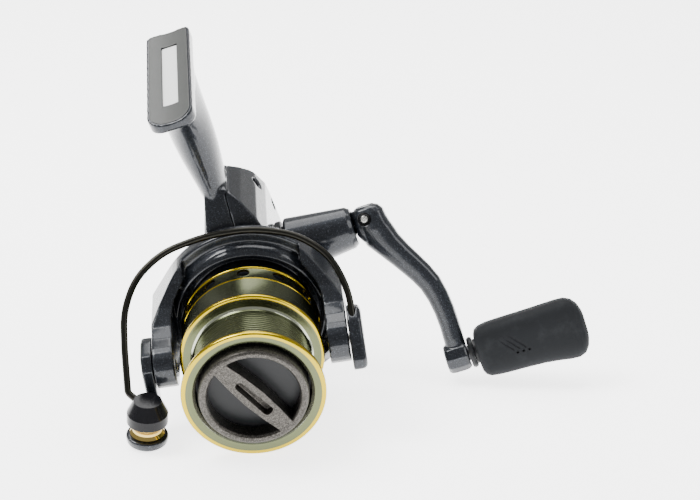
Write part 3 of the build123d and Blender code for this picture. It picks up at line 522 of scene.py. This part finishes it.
def carve(ob, cutters, voxel=None, rounds=0, union=None):
    """Remesh, cut and soften a skin, and keep the result as its mesh."""
    if voxel:
        r = ob.modifiers.new("skin", "REMESH"); r.mode = "VOXEL"; r.voxel_size = voxel * MM
        if rounds:
            sm = ob.modifiers.new("soften", "SMOOTH"); sm.factor = 0.5; sm.iterations = rounds
    for c in cutters:
        bo = ob.modifiers.new("cut", "BOOLEAN"); bo.object = c; bo.operation = "DIFFERENCE"; bo.solver = "EXACT"
    bpy.context.view_layer.update()
    g = bpy.context.evaluated_depsgraph_get()
    new = bpy.data.meshes.new_from_object(ob.evaluated_get(g))
    ob.modifiers.clear()
    ob.data = new
    for c in cutters:
        bpy.data.objects.remove(c)
    for p in ob.data.polygons:
        p.use_smooth = True
    return ob


blade = loft([(46.4, -6.0, 2.9, 2.6, 0), (46.5, -5.2, 4.6, 4.0, 0), (46.7, -3.4, 5.75, 5.1, 0), (46.9, -0.6, 5.95, 5.4, 0), (47.4, 2.4, 6.1, 5.35, -5),
              (48.7, 5.9, 5.8, 5.1, -20), (50.9, 10.0, 5.0, 4.8, -33), (53.4, 14.3, 4.55, 4.45, -33), (56.0, 18.6, 4.35, 4.2, -30),
              (58.3, 22.6, 4.2, 4.0, -25), (60.3, 27.0, 4.05, 3.9, -17), (61.5, 32.0, 3.85, 3.8, -9), (62.2, 37.5, 3.7, 3.75, -4),
              (62.4, 43.0, 3.6, 3.7, -1), (62.3, 48.0, 3.6, 3.7, 0), (62.2, 52.0, 3.55, 3.6, 0)], seg=56, power=2.6)
heel = loft([(43.6, -2.0, 2.2, 4.6, 0), (43.4, 0.6, 2.25, 5.0, 0), (43.5, 3.2, 2.3, 4.9, 0), (44.4, 5.4, 2.0, 4.5, -10), (46.2, 7.4, 1.7, 3.8, -25)], seg=40, power=3.0)
boss = tube_along(arm_at(57.6, 54.9), Vector((1, 0, 0)), 5.6, 8.2, 10, bulge=1.5)
arm_skin = joined("handle_arm_skin", [blade, heel, boss], ["paint"])
carve(arm_skin, [], 0.24, 6)
gap_v, gap_f = [], []
prof_gap = [(36, -12), (36, 2.75), (PX, 2.75), (PX + 3.2, 0.6), (PX + 4.3, PS), (PX + 4.3, -12)]
for n in (-1.42, 1.42):
    for x, sv in prof_gap:
        gap_v.append(arm_at(x, sv, n))
k = len(prof_gap)
gap_f = [tuple(reversed(range(k))), tuple(k + i for i in range(k))] + [(i, (i + 1) % k, k + (i + 1) % k, k + i) for i in range(k)]
fork = joined("cut_fork", [(gap_v, gap_f)], ["paint"])
recess = joined("cut_recess", [tube_along(arm_at(PX, PS, 3.7), A_N, 2.45, 4.0), tube_along(arm_at(PX, PS, -3.7), -A_N, 2.45, 4.0)], ["bore_black"])
pin_hole = joined("cut_pin", [tube_along(arm_at(PX, PS, -7), A_N, 1.5, 14)], ["bore_black"])
axle_hole = joined("cut_axle", [tube_along(arm_at(58.0, 54.9), Vector((1, 0, 0)), 1.76, 12)], ["bore_black"])
carve(arm_skin, [fork, recess, pin_hole, axle_hole])
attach(arm_skin, "handle_arm_body")
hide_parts("handle_arm")


def along(name, profile, centre, axis, seg=64):
    """Turn (radius, height, material) points round any axis through centre."""
    axis = axis.normalized(); u_ = axis.orthogonal().normalized(); v_ = axis.cross(u_)
    return lathe(name, profile, None, lambda r, a, h: centre + axis * (h * MM) + (u_ * math.cos(a) + v_ * math.sin(a)) * (r * MM), seg)


# fold pivot: a domed socket screw at the bottom of a black recess, on both faces of the fork
for side, tag in ((1, "front"), (-1, "back")):
    ring_ = along("pivot_recess_" + tag, [(1.45, 3.78, "gloss"), (2.43, 3.78, "gloss"), (2.43, 4.45, "gloss"), (2.2, 4.30, "gloss"), (2.0, 4.02, "gloss"), (1.45, 3.98, "gloss")], arm_at(PX, PS), A_N * side)
    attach(ring_, "handle_arm_body")
screw_ = along("pivot_screw_skin", [(0.0, -4.35, "steel"), (0.62, -4.35, "steel"), (0.66, -4.75, "steel"), (1.0, -4.72, "steel"), (1.32, -4.5, "steel"), (1.42, -4.2, "steel"),
                                    (1.42, 4.2, "steel"), (1.32, 4.5, "steel"), (1.0, 4.72, "steel"), (0.66, 4.75, "steel"), (0.62, 4.35, "steel"), (0.0, 4.35, "steel")], arm_at(PX, PS), A_N, 48)
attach(screw_, "handle_arm_body")
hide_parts("handle_pivot_screw")

# knob: moulded rubber paddle with diagonal finger grooves, small pits and edge notches
KX, KS = 65.75, 54.9


def knob_at(x, s, n=0.0):
    return arm_at(KX + x, KS + s, n)


def knob_section(x, top, bot, depth, seg=56, power=3.2):
    c, h = (top + bot) / 2, (bot - top) / 2
    pts = []
    for i in range(seg):
        t = 2 * math.pi * i / seg
        a, b = math.cos(t), math.sin(t)
        pts.append(knob_at(x, c + math.copysign(abs(a) ** (2 / power), a) * h, math.copysign(abs(b) ** (2 / power), b) * depth))
    return pts


rows = [(3.15, -4.2, 5.6, 4.2), (3.35, -5.9, 7.3, 5.3), (4.1, -7.4, 8.7, 6.1), (5.6, -8.3, 9.7, 6.6), (8.5, -8.8, 10.1, 6.85), (13, -8.95, 10.35, 6.95),
        (19, -9.0, 10.5, 7.0), (25, -9.1, 10.8, 7.0), (30, -9.25, 11.4, 7.0), (34, -9.35, 12.1, 6.95), (37.2, -9.2, 12.3, 6.7), (39.6, -8.0, 11.4, 6.1),
        (41.2, -6.0, 9.3, 5.2), (42.1, -3.4, 6.6, 4.0), (42.35, -1.4, 4.4, 2.6)]
kv, kf = [], []
for r_ in rows:
    kv += knob_section(*r_)
sg = 56
for j in range(len(rows) - 1):
    for i in range(sg):
        i2 = (i + 1) % sg
        kf.append((j * sg + i, j * sg + i2, (j + 1) * sg + i2, (j + 1) * sg + i))
kf.append(tuple(reversed(range(sg)))); kf.append(tuple((len(rows) - 1) * sg + i for i in range(sg)))
knob = joined("knob_skin", [(kv, kf)], ["rubber"])
carve(knob, [], 0.24, 6)
cuts = []
for side in (1, -1):
    for g in range(3):
        x0 = 8.8 + g * 2.1
        a, b_ = knob_at(x0, -6.3, side * 7.1), knob_at(x0 + 7.2, 2.3, side * 7.12)
        cuts.append(tube_along(a, b_ - a, 0.36, (b_ - a).length / MM, 16))
        pit = knob_at(x0 + 8.1, 3.3, side * 6.2)
        cuts.append(tube_along(pit, A_N * side, 0.46, 2.0, 16))
for g in range(3):
    x0 = 20.5 + g * 2.6
    cuts.append(tube_along(knob_at(x0, -9.35, -5.0), A_N, 0.42, 10.0, 16))
    cuts.append(tube_along(knob_at(x0 + 4.0, 11.15 + g * 0.2, -5.0), A_N, 0.42, 10.0, 16))
grooves = joined("cut_grooves", cuts, ["rubber"])
bore = joined("cut_bore", [tube_along(knob_at(1.5, 0), Vector((1, 0, 0)), 4.41, 4.5), tube_along(knob_at(3.0, 0), Vector((1, 0, 0)), 4.02, 33.0)], ["rubber"])
carve(knob, [grooves, bore])
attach(knob, "knob_body")
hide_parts("handle_knob")

# two small ribs stand between the rotor's dome and each arm
def rib(name, ang, side):
    verts, faces = [], []
    a0 = math.radians(ang)
    prof_r = [(25.2, 46.6, 0.10), (26.0, 45.3, 0.35), (27.2, 45.0, 0.42), (28.6, 45.6, 0.42), (29.6, 47.0, 0.42), (29.8, 51.0, 0.42), (25.4, 51.0, 0.42)]
    for sgn in (-1, 1):
        for r, y_, t in prof_r:
            rad = Vector((math.cos(a0), 0, math.sin(a0)))
            tan = Vector((-math.sin(a0), 0, math.cos(a0)))
            q = rad * r + tan * (t * sgn)
            verts.append(at_rotor(q.x, y_, q.z))
    n_ = len(prof_r)
    faces.append(tuple(range(n_))); faces.append(tuple(reversed(range(n_, 2 * n_))))
    for i_ in range(n_):
        j_ = (i_ + 1) % n_
        faces.append((i_, i_ + n_, j_ + n_, j_))
    ob = joined(name, [(verts, faces)], ["paint_gloss"])
    bv = ob.modifiers.new("edge", "BEVEL"); bv.width = 0.18 * MM; bv.segments = 2; bv.limit_method = "ANGLE"
    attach(ob, "rotor_body")
    return ob


for k_, ang in enumerate((38.0, 142.0, 218.0, 322.0)):
    rib("dome_rib_%d" % k_, ang, 1)

# satin grey pad in the foot's trough, inside a dark rolled rim, open round the blank plate
f_lo, f_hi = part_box("foot_label_plate")
TILT = math.radians(4.8)
FX = Vector((1, 0, 0)); FY = Vector((0, math.cos(TILT), math.sin(TILT))); FZ = Vector((0, -math.sin(TILT), math.cos(TILT)))
SEAT_R = 17.0


def on_foot(x, s, up=0.0):
    z = SEAT_R - math.sqrt(SEAT_R ** 2 - x * x)
    return (FX * x + FY * s + FZ * (z + up)) * MM


def foot_pad():
    xs = [-6.75 + 13.5 * i / 54 for i in range(55)]
    ss = [-29.6 + 59.2 * i / 160 for i in range(161)]
    rc = 4.3

    def inside(x, s):
        ax, as_ = abs(x), abs(s)
        if ax > 6.75 or as_ > 29.6:
            return False
        if ax > 6.75 - rc and as_ > 29.6 - rc:
            return math.hypot(ax - (6.75 - rc), as_ - (29.6 - rc)) <= rc
        return True

    def snap(x, s):
        ax, as_ = abs(x), abs(s)
        if ax > 6.75 - rc and as_ > 29.6 - rc:
            dx, ds = ax - (6.75 - rc), as_ - (29.6 - rc)
            l = math.hypot(dx, ds)
            if l > rc:
                ax, as_ = (6.75 - rc) + dx / l * rc, (29.6 - rc) + ds / l * rc
                return math.copysign(ax, x), math.copysign(as_, s)
        return x, s
    verts, faces = [], []
    for s in ss:
        for x in xs:
            px, ps = snap(x, s)
            verts.append(on_foot(px, ps, 0.13))
    w = len(xs)
    for j in range(len(ss) - 1):
        for i in range(w - 1):
            cx, cs = (xs[i] + xs[i + 1]) / 2, (ss[j] + ss[j + 1]) / 2
            if not inside(cx, cs):
                continue
            if abs(cx) < 2.85 and abs(cs - 0.7) < 19.6:
                continue
            faces.append((j * w + i, j * w + i + 1, (j + 1) * w + i + 1, (j + 1) * w + i))
    ob = mesh_object("foot_pad_skin", verts, faces, ["footpad"])
    bm = bmesh.new(); bm.from_mesh(ob.data)
    bmesh.ops.delete(bm, geom=[v for v in bm.verts if not v.link_faces], context="VERTS")
    bm.to_mesh(ob.data); bm.free()
    so = ob.modifiers.new("thick", "SOLIDIFY")
    so.thickness = 0.16 * MM
    so.offset = -1.0
    return ob


pad = foot_pad()
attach(pad, "reel_body")

# ---- floor, light and camera ----------------------------------------------------------
n_floor = Vector((0.31, 0.15, 0.94)).normalized()
low = min((ob.matrix_world @ v.co).dot(n_floor) for ob in NODES.values() for v in ob.data.vertices)
fp = n_floor * low
u = n_floor.orthogonal().normalized(); w = n_floor.cross(u)
S = 6.0
fl = bpy.data.meshes.new("floor")
fl.from_pydata([tuple(fp + u * a * S + w * b * S) for a, b in ((-1, -1), (1, -1), (1, 1), (-1, 1))], [], [(0, 1, 2, 3)])
floor = bpy.data.objects.new("floor", fl)
bpy.context.scene.collection.objects.link(floor)
m, nt, b, co = new_mat("floor_white")
nt.links.new(mix_rgb(nt, noise(nt, co, 8.0), (0.90, 0.90, 0.90), (0.93, 0.93, 0.93)), b.inputs["Base Color"])
b.inputs["Roughness"].default_value = 0.7
b.inputs["Specular IOR Level"].default_value = 0.2
b.inputs["Emission Color"].default_value = (1.0, 1.0, 1.0, 1.0)
b.inputs["Emission Strength"].default_value = 3.3
fl.materials.append(m)

world = bpy.data.worlds.new("studio")
bpy.context.scene.world = world
world.use_nodes = True
bg = world.node_tree.nodes["Background"]
bg.inputs["Color"].default_value = (1.0, 1.0, 1.0, 1)
bg.inputs["Strength"].default_value = 0.50

CAM = O + Vector((108.04, -531.59, 347.69)) * MM
right = Vector((0.9515, -0.0618, -0.3014)); up = Vector((0.2905, 0.5036, 0.8136)); back = Vector((0.1015, -0.8617, 0.4972))
cd = bpy.data.cameras.new("camera")
cam = bpy.data.objects.new("camera", cd)
bpy.context.scene.collection.objects.link(cam)
cam.matrix_world = Matrix(((right.x, up.x, back.x, CAM.x), (right.y, up.y, back.y, CAM.y), (right.z, up.z, back.z, CAM.z), (0, 0, 0, 1)))
cd.sensor_width = 36.0
cd.lens = 2000.0 * 36.0 / 700.0
bpy.context.scene.camera = cam


def light(name, pos, target, size, power, color=(1, 1, 1)):
    ld = bpy.data.lights.new(name, "AREA")
    ld.energy = power
    ld.size = size
    ld.color = color
    lo = bpy.data.objects.new(name, ld)
    bpy.context.scene.collection.objects.link(lo)
    d = (Vector(target) - Vector(pos)).normalized()
    lo.matrix_world = Matrix.Translation(pos) @ d.to_track_quat("-Z", "Y").to_matrix().to_4x4()
    return lo


centre = at(10, 40, 10)
light("key", centre + n_floor * 0.75 + up * 0.1 - right * 0.55, centre, 0.45, 13.0)
light("fill", centre + n_floor * 0.55 + right * 0.75 + back * 0.2, centre, 0.45, 3.0)
light("top", centre + n_floor * 0.9 - back * 0.35, centre, 0.7, 8.0)
